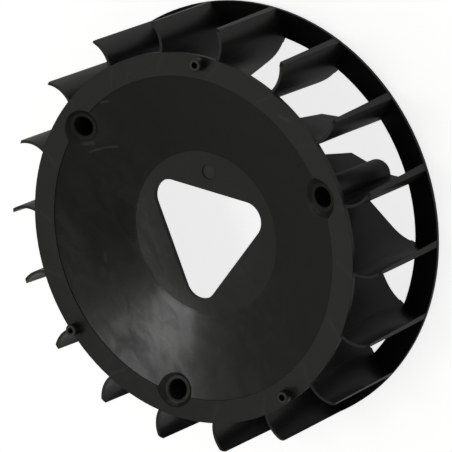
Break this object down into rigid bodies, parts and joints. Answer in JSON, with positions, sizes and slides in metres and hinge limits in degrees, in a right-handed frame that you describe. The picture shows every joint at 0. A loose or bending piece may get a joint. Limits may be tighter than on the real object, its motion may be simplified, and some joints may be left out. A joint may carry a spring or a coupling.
{
  "type": "centrifugal fan impeller",
  "caption": "Black moulded centrifugal impeller: dished disc with a rounded triangular opening, curved blades around its edge tied by a shroud ring, bolt bosses and locating pegs.",
  "frame": {"origin": "on the axis, at the plane in which the impeller rests on its shroud ring", "axes": "+Z along the axis towards the dished face and its pegs; +Y towards a flat side of the triangular opening; one bolt hole lies towards -Y"},
  "size_m": [0.1978, 0.1978, 0.0574],
  "materials": {
    "black_plastic": "satin moulded black plastic, slightly mottled"
  },
  "bodies": {
    "root": {"impeller": "black_plastic"}
  },
  "joints": []
}
